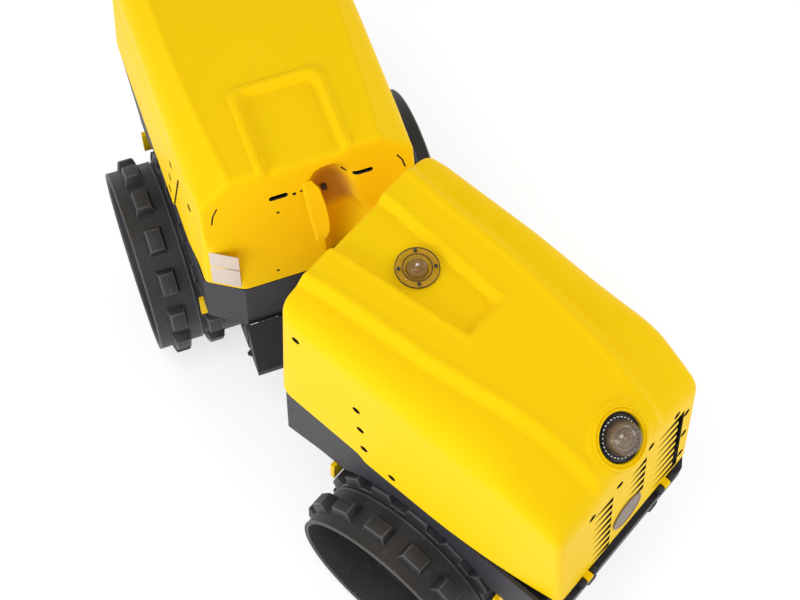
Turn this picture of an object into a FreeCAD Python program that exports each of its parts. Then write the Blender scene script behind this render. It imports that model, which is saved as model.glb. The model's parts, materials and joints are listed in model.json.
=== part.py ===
import FreeCAD, Part
import math
import os

from FreeCAD import Vector

# Articulated trench roller.  Millimetres, +Z up.  Both halves are drawn straight, nose to +X and
# left to +Y, about the vertical steering axis x = 0, y = 0 on the ground.  The front half is then
# turned about that axis, and the whole machine is moved so that the origin is under its middle.

# --- overall ---------------------------------------------------------------------------------
steer_turn = 29.7            # front half turned left of the rear half, degrees
front_axle_x = 529.0
body_half = 280.0            # half width of the hoods at their lower edge
front_end_x = 940.0          # face of the front bumper
rear_end_x = -912.0          # face of the rear bumper

# --- drums -----------------------------------------------------------------------------------
shell_r = 248.0
shell_wall = 12.0
pad_top_r = 269.5
pad_count = 14
pad_top_half = 29.0          # half length of a pad's top round the drum
pad_foot_half = 36.0
pad_top_width = 38.0         # along the axle
pad_foot_width = 54.0
pad_row_inset = 20.0         # inner row of pads beyond the shell's inner edge
front_pad_turn = 51.5        # angle of one pad above the forward direction, degrees
rear_pad_turn = 71.0
drum_inner_y = 62.0
drum_outer_y = 283.0
ring_gap = 6.0
ring_width = 120.0
web_y = 100.0
web_wall = 14.0
ring_flange_r = 150.0
axle_r = 40.0
hub_r = 95.0
shaft_fit = 0.05             # radial clearance of a running shaft
seat_gap = 0.3               # between two seated pieces
pad_corner_r = math.hypot(pad_top_r, pad_top_half)
axle_z = pad_corner_r        # the drums stand on their pad corners

over = 1.0                   # a cutter passes its piece, or a joined piece sinks in, by this

# --- frames ----------------------------------------------------------------------------------
plate = 10.0
arch_gap = 34.0              # from the pads to the wheel arch
deck_gap = 2.0               # deck above the wheel arch
arch_r = pad_corner_r + arch_gap
deck_z = axle_z + arch_r + deck_gap
skirt_gap = 5.0              # hood edge above the frame edge
plate_inset = 3.0            # frame side plates inside the hood sides
frame_rear_x = 117.0         # rear plate of the front half
frame_low_z = axle_z + 185.0
frame_arch_z = axle_z + 203.0
front_frame_front_x = 905.0
carrier_half = 46.0
carrier_reach = 85.0
carrier_low = 70.0
rear_frame_front_x = -56.0
corner_y = 190.0             # where the corner facets of the rear half start
corner_x = -117.0
rear_frame_low_z = axle_z + 185.0
rear_front_plate_low_z = axle_z + 59.0
rear_frame_tail_x = -880.0
corner_share_x = 0.6         # how an inset moves the facet corners along x and y
corner_share_y = 0.4
front_plate_half = 110.0
front_plate_lap = 20.0
gusset_half = 12.0
post_wall = 30.0
window_near = 75.0           # opening for the steering cylinder, from its own line
window_far = 60.0
window_gap = 16.0

# --- front hood ------------------------------------------------------------------------------
panel = 5.0
hood_back_x = 87.0
hood_edge_back_z = deck_z + 108.0
hood_step_x = 345.0
hood_step_top_z = deck_z + 94.0
hood_step_run = 25.0
hood_step_low_z = deck_z + 74.0
hood_edge_front_z = deck_z + 62.0
crown_z = deck_z + 564.0
crown_mid_x = 300.0
crown_front_x = 560.0
brow_z = deck_z + 466.0      # where the nose slope meets the face
brow_slope = 29.0            # fall of the nose slope, degrees
brow_r = 50.0
face_foot_x = 926.0
face_lean = 0.125            # backward run of the face for each unit of rise
shoulder_half = 268.0
shoulder_z = deck_z + 506.0
shoulder_r = 80.0
nose_shoulder_z = deck_z + 450.0
crease_r = 50.0
plateau_back_half = 178.0
plateau_mid_half = 160.0
plateau_front_half = 136.0
plateau_nose_half = 96.0
taper_x = 690.0              # where the sides start to close in on the nose
nose_corner_r = 70.0
back_corner_r = 50.0
face_half = 232.0

# --- receivers -------------------------------------------------------------------------------
channel_back_half = 89.0
channel_front_half = 58.5
channel_front_x = 462.0
channel_depth = 18.0
channel_wall = 14.0
top_eye_x = 268.0
eye_flange_r = 49.0
eye_flange_wall = 7.0
eye_dome_r = 32.0
eye_lens_wall = 3.0
eye_bore_inset = 4.0         # bore of a receiver's base inside its lens
nose_eye_x = 838.0
nose_eye_z = deck_z + 490.0
nose_eye_tilt = 36.0
nose_eye_r = 54.0
nose_eye_depth = 14.0
nose_eye_rise = 4.0
nose_dome_r = 43.0
nose_collar_r = 70.0
nose_collar_height = 20.0

# --- louvres and badge -----------------------------------------------------------------------
louvre_pitch_y = 130.0
louvre_half = 60.0
louvre_rows = 9
louvre_short_rows = 5
louvre_top_z = deck_z + 354.0
louvre_step = 36.5
louvre_gap = 9.0
louvre_cut_depth = 25.0
badge_r = 52.0
badge_z = deck_z + 152.0
badge_wall = 4.0

# --- rear hood -------------------------------------------------------------------------------
rear_edge_z = deck_z + 88.0
rear_brow_x = -140.0
rear_brow_z = deck_z + 477.0
rear_band_half = 190.0
rear_band_tail_half = 214.0
rear_shoulder_half = 268.0
rear_shoulder_z = deck_z + 412.0
rear_tail_x = -896.0
rear_tail_lean = 0.10
rear_band_front_half = 182.0
rear_crease_r = 34.0
rear_bend_r = 40.0
trough_y = 35.0
trough_r = 55.0
trough_drop = 54.0           # top of the trough below the hood's top
recess_back_x = -355.0
recess_half = 94.0
recess_depth = 12.0
recess_corner_r = 30.0

# --- steering joint --------------------------------------------------------------------------
pivot_pin_r = 30.0
hub_r_steer = 44.0
joint_low_z = axle_z + 29.0
joint_top_z = axle_z + 229.0
joint_half = 195.0
joint_front_x = 22.0
joint_toe_height = 22.0      # upright toe below the joint's sloping front
joint_slope_top_z = axle_z + 200.0
cheek_reach = 74.0           # rear half's cheek plates behind its front plate
cheek_inset = 6.0
joint_back_x = -48.0
ear_wall = 26.0
ear_gap = 5.0
ear_half = 46.0
trunnion_r = 38.0
trunnion_z = axle_z + 129.0
trunnion_reach = 85.0
housing_r = 70.0
link_arm = 120.0             # rod eye from the steering axis
link_base_x = 265.0
link_z = axle_z + 259.0
barrel_r = 24.0
rod_r = 13.0
eye_r = 20.0
eye_half = 12.0
eye_seat_gap = 0.5           # rod eye above the post it is bolted to
link_pin_r = 10.0
link_collar_wall = 8.0
link_pin_reach = 22.0
barrel_start = 26.0          # along the cylinder from its base pin
barrel_bottom = 34.0
barrel_clear = 40.0          # barrel ends this far before the rod's eye
barrel_eye_half = 14.0
neck_r = 12.0
neck_length = 30.0
piston_start = 36.0
piston_length = 16.0
rod_step = 2.0               # rod thinner than its piston
rod_short = 8.0
bolt_rise = 8.0
pin_head_wall = 12.0
pin_head_height = 10.0
pin_reach = 8.0

# --- lids ------------------------------------------------------------------------------------
hinge_r = 10.0
hinge_pin_r = 5.0
hinge_y = 150.0
hinge_half = 30.0
ear_bite = 2.0               # a hood's ear sunk into its panel
ear_rise = 20.0
bearer_half = 8.0
bearer_step = 21.6           # bearers to each side of a hinge's middle
front_hinge_x = 934.0
front_hinge_z = deck_z + 52.0
rear_hinge_x = -906.0
rear_hinge_z = deck_z + 74.0
bumper_top_z = deck_z + 36.0
bumper_low_z = deck_z - 20.0
bumper_half = 215.0

# --- insides ---------------------------------------------------------------------------------
engine_size = (380.0, 360.0, 390.0)
engine_x = 400.0
radiator_size = (60.0, 330.0, 330.0)
radiator_x = 790.0
tank_size = (400.0, 400.0, 280.0)
tank_x = -640.0

# --- scrapers and lashing eyes ---------------------------------------------------------------
scraper_wall = 12.0
scraper_height = 80.0
scraper_lift = 116.0         # lower edge above the axle
scraper_half = 288.0
scraper_gap = 6.0
scraper_joint_gap = 14.35    # rear half's front scraper behind the trunnion's housing
scraper_strap_y = 190.0
scraper_strap_half = 25.0
lash_wall = 20.0
lash_hole_r = 14.0
lash_eye_r = 26.0
lash_y = 120.0
lash_drop = 30.0             # hole centre below the bumper
lash_inset = 24.0            # hole centre behind the bumper's face

frame_half = body_half - plate_inset
scraper_reach = math.sqrt((pad_corner_r + scraper_gap) ** 2 - scraper_lift ** 2)
rear_axle_x = rear_frame_front_x - trunnion_reach - scraper_joint_gap - scraper_wall - scraper_reach
ring_inner_y = drum_outer_y + ring_gap
ring_outer_y = ring_inner_y + ring_width
row_ys = (drum_inner_y + pad_row_inset + pad_foot_width / 2.0, drum_outer_y - pad_foot_width / 2.0)
ring_row_y = ring_inner_y + ring_width / 2.0

X_AXIS = Vector(1, 0, 0)
Y_AXIS = Vector(0, 1, 0)
Z_AXIS = Vector(0, 0, 1)


# --- shape helpers ---------------------------------------------------------------------------
def block(x0, x1, y0, y1, z0, z1):
    return Part.makeBox(x1 - x0, y1 - y0, z1 - z0, Vector(x0, y0, z0))


def prism(points, along):
    wire = Part.makePolygon(points + [points[0]])
    return Part.Face(wire).extrude(along)


def prism_y(outline, y0, y1):
    """Solid between y0 and y1 with an outline of (x, z) points."""
    return prism([Vector(x, y0, z) for x, z in outline], Vector(0, y1 - y0, 0))


def prism_z(outline, z0, z1):
    return prism([Vector(x, y, z0) for x, y in outline], Vector(0, 0, z1 - z0))


def rod_y(x, z, r, y0, y1):
    return Part.makeCylinder(r, y1 - y0, Vector(x, y0, z), Y_AXIS)


def rod_z(x, y, r, z0, z1):
    return Part.makeCylinder(r, z1 - z0, Vector(x, y, z0), Z_AXIS)


def rod_x(y, z, r, x0, x1):
    return Part.makeCylinder(r, x1 - x0, Vector(x0, y, z), X_AXIS)


def pipe_y(x, z, r, bore, y0, y1):
    return rod_y(x, z, r, y0, y1).cut(rod_y(x, z, bore, y0 - over, y1 + over))


def joined(*shapes):
    return shapes[0].multiFuse(list(shapes[1:])).removeSplitter()


def other_side(shape):
    """The same piece on the machine's other side, mirrored in the plane y = 0."""
    return shape.mirror(Vector(0, 0, 0), Y_AXIS)


def turned(shape, degrees, centre, axis):
    copy = shape.copy()
    copy.rotate(centre, axis, degrees)
    return copy


# --- drums -----------------------------------------------------------------------------------
def pads(axle_x, y, first_angle):
    """One row of tapered tamping pads round the shell, centred at y."""
    rings = []
    for half, width, r in ((pad_foot_half, pad_foot_width, shell_r - shell_wall / 2.0),
                           (pad_top_half, pad_top_width, pad_top_r)):
        y0 = y - width / 2.0
        y1 = y + width / 2.0
        corners = [Vector(-half, y0, r), Vector(half, y0, r), Vector(half, y1, r), Vector(-half, y1, r)]
        rings.append(Part.makePolygon(corners + [corners[0]]))
    up = Part.makeLoft(rings, True, True)
    row = []
    for i in range(pad_count):
        angle = first_angle + i * 360.0 / pad_count
        pad = turned(up, 90.0 - angle, Vector(0, 0, 0), Y_AXIS)
        pad.translate(Vector(axle_x, 0, axle_z))
        row.append(pad)
    return row


def base_drum(axle_x, pad_turn):
    """Left drum shell with its web, its outer flange and two staggered rows of pads."""
    shell = pipe_y(axle_x, axle_z, shell_r, shell_r - shell_wall, drum_inner_y, drum_outer_y)
    web = pipe_y(axle_x, axle_z, shell_r - 1.0, axle_r, web_y, web_y + web_wall)
    flange = pipe_y(axle_x, axle_z, shell_r - 1.0, ring_flange_r, drum_outer_y - web_wall, drum_outer_y)
    half_pitch = 180.0 / pad_count
    feet = pads(axle_x, row_ys[0], pad_turn) + pads(axle_x, row_ys[1], pad_turn + half_pitch)
    return joined(shell, web, flange, *feet)


def drum_ring(axle_x, pad_turn):
    """Left extension ring: it bolts against the base drum's outer flange."""
    shell = pipe_y(axle_x, axle_z, shell_r, shell_r - shell_wall, ring_inner_y, ring_outer_y)
    collar = pipe_y(axle_x, axle_z, shell_r - 8.0, ring_flange_r, drum_outer_y, ring_inner_y + web_wall)
    return joined(shell, collar, *pads(axle_x, ring_row_y, pad_turn))


def drum_axle(axle_x):
    """Shaft through the carrier with a hub plate against each drum's web."""
    shaft = rod_y(axle_x, axle_z, axle_r, -web_y - web_wall, web_y + web_wall)
    hub = rod_y(axle_x, axle_z, hub_r, web_y - web_wall, web_y)
    return joined(shaft, hub, other_side(hub))


def axle_carrier(axle_x):
    """Plate casting that hangs from the deck between the two drums and carries their shaft."""
    reach = carrier_reach
    outline = [(axle_x - reach, deck_z), (axle_x + reach, deck_z),
               (axle_x + reach * 0.8, axle_z - carrier_low * 0.6),
               (axle_x + reach * 0.5, axle_z - carrier_low),
               (axle_x - reach * 0.5, axle_z - carrier_low),
               (axle_x - reach * 0.8, axle_z - carrier_low * 0.6)]
    body = prism_y(outline, -carrier_half, carrier_half)
    return body.cut(rod_y(axle_x, axle_z, axle_r + shaft_fit, -carrier_half - over, carrier_half + over))


def scraper(axle_x, side, grow=0.0):
    """Cross bar just outside the pads, in front of or behind the drums."""
    x0 = axle_x + side * scraper_reach
    x1 = x0 + side * scraper_wall
    z0 = axle_z + scraper_lift
    return block(min(x0, x1) - grow, max(x0, x1) + grow, -scraper_half - grow, scraper_half + grow,
                 z0 - grow, z0 + scraper_height + grow)


def scraper_straps(axle_x, side):
    """Straps that hang from the deck and carry one scraper bar."""
    x0 = axle_x + side * scraper_reach + side * scraper_wall
    x1 = x0 + side * scraper_wall
    straps = []
    for y in (-scraper_strap_y, scraper_strap_y):
        straps.append(block(min(x0, x1), max(x0, x1), y - scraper_strap_half, y + scraper_strap_half,
                            axle_z + scraper_lift, deck_z + over))
    return straps


# --- the hoods' outer form -------------------------------------------------------------------
def rounded_section(x, corners, radii):
    """Closed wire in the plane of x through (y, z) corners, each rounded by its radius."""
    count = len(corners)
    arcs = []
    for i in range(count):
        corner = Vector(x, corners[i][0], corners[i][1])
        before = Vector(x, *corners[i - 1]) - corner
        after = Vector(x, *corners[(i + 1) % count]) - corner
        before.normalize()
        after.normalize()
        half = before.getAngle(after) / 2.0
        setback = radii[i] / math.tan(half)
        start = corner + before * setback
        end = corner + after * setback
        middle = before + after
        middle.normalize()
        mid = corner + middle * (radii[i] / math.sin(half) - radii[i])
        arcs.append((start, mid, end))
    edges = []
    for i in range(count):
        start, mid, end = arcs[i]
        edges.append(Part.Arc(start, mid, end).toShape())
        edges.append(Part.LineSegment(end, arcs[(i + 1) % count][0]).toShape())
    return Part.Wire(edges)


def section_corners(foot_half, shoulder, plateau, crown, low_z, inset):
    """Corners of one hood section, inset all round by the panel's thickness."""
    slope = (shoulder[1] - crown) / (shoulder[0] - plateau)
    down = inset * math.sqrt(1 + slope * slope)
    y_s = shoulder[0] - inset
    z_s = shoulder[1] - down - slope * inset
    y_p = plateau - inset * 0.4
    z_p = crown - inset
    y_f = foot_half - inset
    return [(-y_f, low_z), (y_f, low_z), (y_s, z_s), (y_p, z_p), (-y_p, z_p), (-y_s, z_s)]


def is_upright(edge):
    return abs(edge.tangentAt(edge.FirstParameter).z) > 0.99


def hood_skin(stations, shoulder_y, foot_half, low, radii, inset):
    """Loft through sections given as (x, half width of the top, top height, shoulder height)."""
    wires = []
    for x, plateau, crown, shoulder in stations:
        corners = section_corners(foot_half, (shoulder_y, shoulder), plateau, crown, low, inset)
        wires.append(rounded_section(x, corners, radii))
    return Part.makeLoft(wires, True, False)


def front_hood_form(inset):
    """Solid form of the front hood; inset 0 is the outside and one panel is the inside."""
    low = hood_edge_front_z - 40.0
    top = crown_z + 60.0
    stations = [(hood_back_x - 30.0, plateau_back_half, crown_z, shoulder_z),
                (crown_mid_x, plateau_mid_half, crown_z, shoulder_z),
                (crown_front_x, plateau_front_half, crown_z, shoulder_z),
                (face_foot_x + 40.0, plateau_nose_half, crown_z - 24.0, nose_shoulder_z)]
    radii = [6.0, 6.0, shoulder_r, crease_r, crease_r, shoulder_r]
    skin = hood_skin(stations, shoulder_half, body_half + 2.0, low - 20.0, radii, inset)

    # the hood's outline seen from above, with its rounded corners
    back = hood_back_x + inset
    front = face_foot_x + 20.0 - inset
    half = body_half - inset
    tip = face_half - inset
    plan = prism_z([(back, -half), (taper_x, -half), (front, -tip), (front, tip), (taper_x, half),
                    (back, half)], low - 10.0, top + 10.0)
    nose = [e for e in plan.Edges if is_upright(e) and e.CenterOfMass.x > front - 5.0]
    plan = plan.makeFillet(nose_corner_r - inset, nose)
    tail = [e for e in plan.Edges if is_upright(e) and e.CenterOfMass.x < back + 5.0]
    plan = plan.makeFillet(back_corner_r - inset, tail)

    # the side view: leaning face, rounded brow and nose slope
    fall = math.tan(math.radians(brow_slope))
    face_gap = inset * math.sqrt(1 + face_lean ** 2)
    slope_gap = inset * math.sqrt(1 + fall ** 2)
    slope_z = brow_z + fall * face_x(brow_z) - slope_gap
    brow_x = (face_x(slope_z) - face_gap) / (1 - face_lean * fall)
    side = prism_y([(back, low), (face_x(low) - face_gap, low), (brow_x, slope_z - fall * brow_x),
                    ((slope_z - top) / fall, top), (back, top)], -body_half - 10.0, body_half + 10.0)
    brow = [e for e in side.Edges if abs(e.tangentAt(e.FirstParameter).y) > 0.99
            and abs(e.CenterOfMass.x - brow_x) < 1.0]
    side = side.makeFillet(brow_r - inset, brow)
    return skin.common(plan).common(side)


def hood_edge_cutter():
    """Everything below the front hood's stepped lower edge."""
    far_z = hood_edge_front_z - 140.0
    outline = [(hood_back_x - 20.0, far_z), (face_foot_x + 60.0, far_z),
               (face_foot_x + 60.0, hood_edge_front_z), (hood_step_x + hood_step_run, hood_step_low_z),
               (hood_step_x, hood_step_top_z), (hood_back_x - 20.0, hood_edge_back_z)]
    return prism_y(outline, -body_half - 20.0, body_half + 20.0)


def channel(grow):
    """Tapered channel in the top of the front hood; grow thickens it by the panel."""
    far_back = hood_back_x - 40.0
    rim_z = crown_z + 2.0
    front = channel_front_x + grow
    back_half = channel_back_half + grow
    front_half = channel_front_half + grow
    outline = [(far_back, back_half), (front, front_half), (front, -front_half), (far_back, -back_half)]
    foot_front = front - channel_wall
    foot_back_half = back_half - channel_wall
    foot_front_half = front_half - channel_wall
    foot = [(far_back, foot_back_half), (foot_front, foot_front_half), (foot_front, -foot_front_half),
            (far_back, -foot_back_half)]
    floor_z = crown_z - channel_depth - grow
    floor = Part.makePolygon([Vector(x, y, floor_z) for x, y in foot + [foot[0]]])
    rim = Part.makePolygon([Vector(x, y, rim_z) for x, y in outline + [outline[0]]])
    return Part.makeLoft([floor, rim], True, True).fuse(prism_z(outline, rim_z, rim_z + 60.0))


def face_x(z):
    """x of the front hood's leaning face at height z."""
    return face_foot_x - face_lean * (z - hood_edge_front_z)


def louvre_cuts():
    cuts = []
    for column in (-1, 0, 1):
        rows = louvre_short_rows if column == 0 else louvre_rows
        y = column * louvre_pitch_y
        for row in range(rows):
            z = louvre_top_z - row * louvre_step
            x = face_x(z)
            cuts.append(block(x - louvre_cut_depth, x + louvre_cut_depth, y - louvre_half, y + louvre_half,
                              z - louvre_gap, z))
    return Part.makeCompound(cuts)


def hinge_knuckle(x, z, y):
    """Knuckle of a hood that turns on a pin held by the frame."""
    half = hinge_half / 3.0
    return pipe_y(x, z, hinge_r, hinge_pin_r + shaft_fit, y - half, y + half)


def hinge_ear(pin_x, pin_z, near_x, far_x, top_z, y):
    """Knuckle with the strap that runs from it to near_x..far_x inside the hood's end face."""
    half = hinge_half / 3.0
    low_z = pin_z + hinge_pin_r + 2.0
    strap = block(min(pin_x, far_x), max(pin_x, far_x), y - half, y + half, low_z, pin_z + hinge_r)
    rise = block(min(near_x, far_x), max(near_x, far_x), y - half, y + half, low_z, top_z)
    return [hinge_knuckle(pin_x, pin_z, y), strap, rise]


def hinge_bearers(x, z, side):
    """Pairs of lugs on a bumper that hold a hood's pins; side is where their feet lie."""
    near = x + side * (hinge_pin_r + over)
    far = x + side * hinge_r
    bearers = []
    for y in (-hinge_y - bearer_step, -hinge_y + bearer_step, hinge_y - bearer_step, hinge_y + bearer_step):
        eye = pipe_y(x, z, hinge_r, hinge_pin_r, y - bearer_half, y + bearer_half)
        foot = block(min(near, far), max(near, far), y - bearer_half, y + bearer_half, bumper_top_z - over, z)
        bearers.append(joined(eye, foot))
    return bearers


def nose_eye_rod(r, low, high):
    """Cylinder on the tilted axis of the nose receiver, from low to high along that axis."""
    tilt = math.radians(nose_eye_tilt)
    axis = Vector(math.sin(tilt), 0, math.cos(tilt))
    base = Vector(nose_eye_x, 0, nose_eye_z) + axis * low
    return Part.makeCylinder(r, high - low, base, axis)


def front_hood():
    outside = front_hood_form(0.0).cut(channel(0.0))
    inside = front_hood_form(panel).cut(channel(panel))
    collar = nose_eye_rod(nose_collar_r, -nose_collar_height, 0.0)
    shell = outside.cut(inside).fuse(collar)
    shell = shell.cut(hood_edge_cutter()).cut(louvre_cuts())
    eye_hole = rod_z(top_eye_x, 0, eye_dome_r - eye_bore_inset - 2.0, crown_z - 60.0, crown_z + 60.0)
    shell = shell.cut(eye_hole).cut(nose_eye_rod(nose_eye_r + seat_gap, -60.0, 60.0))
    face_back = face_foot_x - panel
    ears = []
    for y in (-hinge_y, hinge_y):
        ears += hinge_ear(front_hinge_x, front_hinge_z, face_back + ear_bite, face_back - 6.0,
                          hood_edge_front_z + ear_rise, y)
    return joined(shell, *ears)


# --- front frame -----------------------------------------------------------------------------
def front_frame():
    top = [(front_frame_front_x, hood_edge_front_z - skirt_gap),
           (hood_step_x + hood_step_run, hood_step_low_z - skirt_gap),
           (hood_step_x, hood_step_top_z - skirt_gap), (frame_rear_x, hood_edge_back_z - skirt_gap)]
    outline = [(frame_rear_x, frame_low_z), (front_axle_x - arch_r, frame_arch_z),
               (front_axle_x + arch_r, frame_arch_z), (front_frame_front_x, bumper_low_z)] + top
    side = prism_y(outline, frame_half - plate, frame_half)
    arch = rod_y(front_axle_x, axle_z, arch_r, -body_half - 20, body_half + 20)
    side = side.cut(arch)
    deck = block(frame_rear_x, front_frame_front_x, -frame_half + over, frame_half - over, deck_z, deck_z + plate)
    back = block(frame_rear_x, frame_rear_x + plate, -frame_half + over, frame_half - over,
                 frame_low_z, hood_edge_back_z - skirt_gap - 4.0)
    front = block(front_frame_front_x - plate, front_frame_front_x, -frame_half + over, frame_half - over,
                  bumper_low_z, hood_edge_front_z - skirt_gap - 2.0)
    bumper = prism_z([(front_frame_front_x - 6, -frame_half), (front_end_x, -bumper_half),
                      (front_end_x, bumper_half), (front_frame_front_x - 6, frame_half)],
                     bumper_low_z, bumper_top_z)
    window = block(frame_rear_x - over, frame_rear_x + plate + over, link_arm - window_near,
                   link_arm + window_far, link_z - barrel_r - window_gap, deck_z - plate)
    back = back.cut(window)
    ears = []
    for z0 in (joint_top_z + ear_gap, joint_low_z - ear_gap - ear_wall):
        ear = joined(block(0, frame_rear_x + over, -ear_half, ear_half, z0, z0 + ear_wall),
                     rod_z(0, 0, ear_half, z0, z0 + ear_wall))
        ears.append(ear.cut(rod_z(0, 0, pivot_pin_r + shaft_fit, z0 - over, z0 + ear_wall + over)))
    web_low = joint_low_z - ear_gap - ear_wall
    post = block(frame_rear_x, frame_rear_x + post_wall, -ear_half, ear_half, web_low, deck_z)
    collar_top = link_z - barrel_eye_half - eye_seat_gap
    base = joined(rod_z(link_base_x, link_arm, link_pin_r, link_z - link_pin_reach, deck_z + over),
                  rod_z(link_base_x, link_arm, link_pin_r + link_collar_wall, collar_top - plate, collar_top))
    bearers = hinge_bearers(front_hinge_x, front_hinge_z, -1)
    straps = scraper_straps(front_axle_x, 1) + scraper_straps(front_axle_x, -1)
    return joined(side, other_side(side), deck, back, front, bumper, post, base, *(ears + bearers + straps))


# --- rear frame ------------------------------------------------------------------------------
def rear_plan(inset):
    """Outline of the rear half from above: square tail, two faceted front corners."""
    half = frame_half - inset
    return [(rear_frame_tail_x + inset, -half), (corner_x - inset * corner_share_x, -half),
            (rear_frame_front_x - inset, -corner_y + inset * corner_share_y),
            (rear_frame_front_x - inset, corner_y - inset * corner_share_y),
            (corner_x - inset * corner_share_x, half), (rear_frame_tail_x + inset, half)]


def rear_frame():
    top = rear_edge_z - skirt_gap
    wall = prism_z(rear_plan(0.0), rear_frame_low_z, top)
    wall = wall.cut(prism_z(rear_plan(plate), rear_frame_low_z - over, top + over))
    arch = rod_y(rear_axle_x, axle_z, arch_r, -body_half - 20, body_half + 20)
    wall = wall.cut(arch)
    tail_cut = prism_y([(rear_axle_x - arch_r - 2, 0), (rear_axle_x - arch_r - 2, frame_arch_z),
                        (rear_frame_tail_x + plate, bumper_low_z), (rear_frame_tail_x - 20, bumper_low_z),
                        (rear_frame_tail_x - 20, 0)],
                       -body_half, body_half)
    wall = wall.cut(tail_cut)
    deck = block(rear_frame_tail_x + over, rear_frame_front_x - 20, -corner_y, corner_y, deck_z, deck_z + plate)
    deck_wide = block(rear_frame_tail_x + over, corner_x - 20, -frame_half + over, frame_half - over,
                      deck_z, deck_z + plate)
    front_plate = block(rear_frame_front_x - plate, rear_frame_front_x, -front_plate_half,
                        front_plate_half, rear_front_plate_low_z, rear_frame_low_z + front_plate_lap)
    housing = rod_x(0, trunnion_z, housing_r, rear_frame_front_x - trunnion_reach, rear_frame_front_x)
    bore = rod_x(0, trunnion_z, trunnion_r + shaft_fit, rear_frame_front_x - trunnion_reach - over,
                 rear_frame_front_x + over)
    gusset = block(rear_frame_front_x - trunnion_reach, rear_frame_front_x, -gusset_half, gusset_half,
                   trunnion_z + trunnion_r, deck_z + over)
    bumper = block(rear_end_x, rear_frame_tail_x + 2, -bumper_half, bumper_half, bumper_low_z, bumper_top_z)
    bearers = hinge_bearers(rear_hinge_x, rear_hinge_z, 1)
    straps = scraper_straps(rear_axle_x, 1) + scraper_straps(rear_axle_x, -1)
    cheek = block(rear_frame_front_x - cheek_reach, rear_frame_front_x - cheek_inset, joint_half - plate,
                  joint_half, joint_low_z, deck_z + over)
    solid = joined(wall, deck, deck_wide, front_plate, housing, gusset, bumper, cheek, other_side(cheek),
                   *(bearers + straps))
    solid = solid.cut(bore)
    for side in (1, -1):
        solid = solid.cut(scraper(rear_axle_x, side, seat_gap))
    return solid


# --- rear hood -------------------------------------------------------------------------------
def rear_lean():
    """Backward run of the rear hood's front face for each unit of rise."""
    return (rear_frame_front_x - rear_brow_x) / (rear_brow_z - rear_edge_z)


def rear_hood_form(inset):
    """Solid form of the rear hood; inset 0 is the outside and one panel is the inside."""
    low = rear_edge_z - 40.0
    top = rear_brow_z + 30.0
    stations = [(rear_frame_front_x + 20.0, rear_band_front_half, rear_brow_z, rear_shoulder_z),
                (rear_brow_x - 200.0, rear_band_half + 10.0, rear_brow_z + 2.0, rear_shoulder_z),
                (rear_brow_x - 480.0, rear_band_tail_half, rear_brow_z - 4.0, rear_shoulder_z - 4.0),
                (rear_tail_x - 20.0, rear_band_tail_half + 6.0, rear_brow_z - 30.0, rear_shoulder_z - 24.0)]
    radii = [6.0, 6.0, rear_bend_r, rear_crease_r, rear_crease_r, rear_bend_r]
    skin = hood_skin(stations, rear_shoulder_half, body_half + 4.0, low - 20.0, radii, inset)
    half = body_half - inset
    plan = [(rear_tail_x + inset, -half), (corner_x - inset * corner_share_x, -half),
            (rear_frame_front_x - inset, -corner_y + inset * corner_share_y),
            (rear_frame_front_x - inset, corner_y - inset * corner_share_y),
            (corner_x - inset * corner_share_x, half), (rear_tail_x + inset, half)]
    plan = prism_z(plan, low - 10.0, top + 10.0)
    tail = [e for e in plan.Edges if is_upright(e) and e.CenterOfMass.x < rear_tail_x + 20.0]
    plan = plan.makeFillet(back_corner_r - inset, tail)
    lean = rear_lean()
    gap = inset * math.sqrt(1 + lean * lean)
    tail_gap = inset * math.sqrt(1 + rear_tail_lean ** 2)
    side = prism_y([(rear_tail_x - 4.0 + tail_gap, low), (rear_frame_front_x + lean * 40.0 - gap, low),
                    (rear_brow_x - lean * 30.0 - gap, top),
                    (rear_tail_x + rear_tail_lean * (top - low) + tail_gap, top)],
                   -body_half - 10.0, body_half + 10.0)
    return skin.common(plan).common(side)


def trough(grow):
    """Round-topped hollow in the rear hood's front face, leaning with that face."""
    lean = rear_lean()
    low = Vector(rear_frame_front_x - 8.0 + lean * 60.0, trough_y, rear_edge_z - 60.0)
    crown = rear_brow_z - trough_drop - trough_r
    high = Vector(rear_frame_front_x - 8.0 - lean * (crown - rear_edge_z), trough_y, crown)
    axis = high - low
    r = trough_r + grow
    column = Part.makeCylinder(r, axis.Length, low, axis)
    return column.fuse(Part.makeSphere(r, high))


def recess(grow):
    """Shallow sunken panel in the top of the rear hood, open towards the front."""
    half = recess_half + grow
    body = block(recess_back_x - grow, rear_frame_front_x + 40.0, -half, half,
                 rear_brow_z - recess_depth - grow, rear_brow_z + 60.0)
    corners = [e for e in body.Edges if is_upright(e) and e.CenterOfMass.x < recess_back_x + 1.0]
    return body.makeFillet(recess_corner_r + grow, corners)


def rear_hood():
    outside = rear_hood_form(0.0).cut(trough(0.0)).cut(recess(0.0))
    inside = rear_hood_form(panel).cut(trough(panel)).cut(recess(panel))
    below = block(rear_tail_x - 30.0, 0.0, -body_half - 20.0, body_half + 20.0, rear_edge_z - 160.0, rear_edge_z)
    shell = outside.cut(inside).cut(below)
    face_back = rear_tail_x + panel
    ears = []
    for y in (-hinge_y, hinge_y):
        ears += hinge_ear(rear_hinge_x, rear_hinge_z, face_back - ear_bite, face_back + 6.0,
                          rear_edge_z + ear_rise, y)
    return joined(shell, *ears)


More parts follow.
